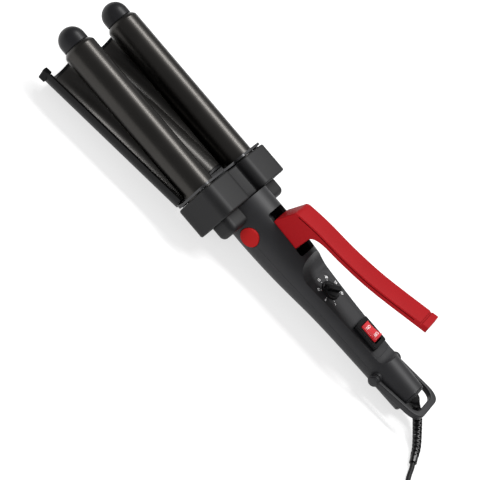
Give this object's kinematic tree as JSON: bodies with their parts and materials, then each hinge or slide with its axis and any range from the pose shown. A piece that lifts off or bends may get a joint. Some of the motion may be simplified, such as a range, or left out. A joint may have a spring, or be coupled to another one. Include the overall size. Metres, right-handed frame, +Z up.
{
  "type": "hair waver",
  "caption": "Two-barrel hair waver with a sprung wave clamp, red squeeze lever, temperature dial, rocker switch, hanging loop and a wound cord with its plug.",
  "frame": {"origin": "centre of the tool's bounding box without the cord, its coil and its plug, at the height of the surface that it lies on", "axes": "+X from the barrel tips to the cord end, +Y to the barrel that lies farther from the viewer in the picture, +Z up"},
  "size_m": [0.5296, 0.1039, 0.0709],
  "materials": {
    "black_plastic": "fine satin moulded black",
    "coating": "dark grey ceramic-coated aluminium, satin",
    "steel": "plain steel",
    "red_plastic": "smooth red plastic",
    "black_rubber": "matt black rubber or soft PVC",
    "aluminium": "plain cast or extruded aluminium",
    "brass_blades": "plain brass blades",
    "board": "green glass-fibre board"
  },
  "bodies": {
    "handle": {"barrel_left": "coating", "barrel_tip_left": "black_plastic", "barrel_heater_left": "aluminium", "hinge_cap_left": "red_plastic", "loop_rivet_left": "black_plastic", "barrel_right": "coating", "barrel_tip_right": "black_plastic", "barrel_heater_right": "aluminium", "hinge_cap_right": "red_plastic", "loop_rivet_right": "black_plastic", "head_collar": "black_plastic", "heat_shield": "steel", "handle_upper_shell": "black_plastic", "handle_lower_shell": "black_plastic", "control_panel": "black_plastic", "control_board": "board", "dial_potentiometer": "steel", "switch_housing": "black_plastic", "hinge_pin": "steel", "clamp_spring": "steel", "tail_cap": "black_plastic", "cord_sleeve": "black_rubber", "handle_screw_front": "steel", "handle_screw_rear": "steel", "cord": "black_rubber", "cord_coil": "black_rubber", "cord_to_plug": "black_rubber", "coil_tie": "black_rubber", "plug_body": "black_rubber", "plug_blade_left": "brass_blades", "plug_blade_right": "brass_blades"},
    "clamp": {"lever": "red_plastic", "clamp_arm": "black_plastic", "clamp_housing": "black_plastic", "wave_plate": "coating", "ridge_heater": "aluminium", "clamp_foot": "black_rubber"},
    "dial": {"temperature_dial": "black_plastic"},
    "rocker": {"power_rocker": "red_plastic"},
    "loop": {"hanging_loop": "black_plastic"}
  },
  "joints": [
    {"name": "clamp_hinge", "type": "hinge", "parent": "handle", "child": "clamp", "pos_m": [-0.00024, 0, 0.02491], "axis": [0, 1, 0], "range_deg": [0, 7.5], "stiffness_Nm_per_rad": 2, "springref_deg": -28.65},
    {"name": "dial_hinge", "type": "hinge", "parent": "handle", "child": "dial", "pos_m": [0.06164, 0, 0.02796], "axis": [0.085, 0, 0.9964], "range_deg": [0, 280]},
    {"name": "rocker_hinge", "type": "hinge", "parent": "handle", "child": "rocker", "pos_m": [0.10013, 0, 0.02498], "axis": [0, 1, 0], "range_deg": [0, 18]},
    {"name": "loop_hinge", "type": "hinge", "parent": "handle", "child": "loop", "pos_m": [0.12431, 0, 0.01428], "axis": [0, -1, 0], "range_deg": [0, 140]}
  ]
}
